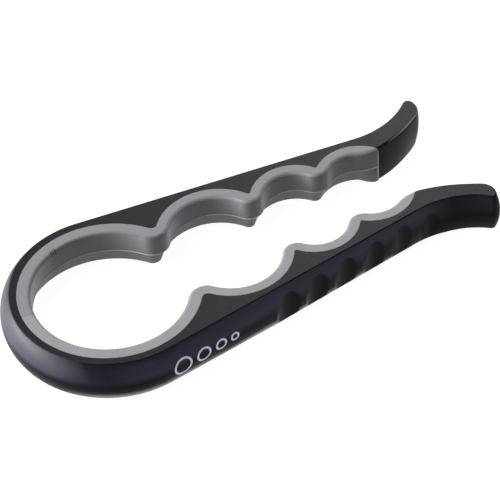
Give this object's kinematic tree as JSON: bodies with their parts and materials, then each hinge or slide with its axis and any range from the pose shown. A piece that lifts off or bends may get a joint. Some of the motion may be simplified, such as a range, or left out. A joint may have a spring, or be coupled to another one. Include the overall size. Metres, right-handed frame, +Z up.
{
  "type": "jar opener",
  "caption": "Squeeze-type jar opener: a springy loop with a large lid ring, smaller gripping recesses between two arms, a soft grip liner and flared handles.",
  "frame": {"origin": "centre of the bounding box, on the flat underside", "axes": "+X from the lid ring to the handle tips, +Z up, +Y towards the right arm"},
  "size_m": [0.223, 0.0956, 0.02],
  "materials": {
    "black_plastic": "fine moulded grain, satin",
    "grey_rubber": "matte soft elastomer",
    "white_print": "thin printed ink"
  },
  "bodies": {
    "right_arm": {"frame_right": "black_plastic", "liner_right": "grey_rubber"},
    "left_arm": {"frame_left": "black_plastic", "liner_left": "grey_rubber"}
  },
  "joints": [
    {"name": "bow_flex", "type": "hinge", "parent": "right_arm", "child": "left_arm", "pos_m": [-0.09815, 0, 0.01], "axis": [0, 0, 1], "range_deg": [0, 9.5], "stiffness_Nm_per_rad": 9}
  ]
}
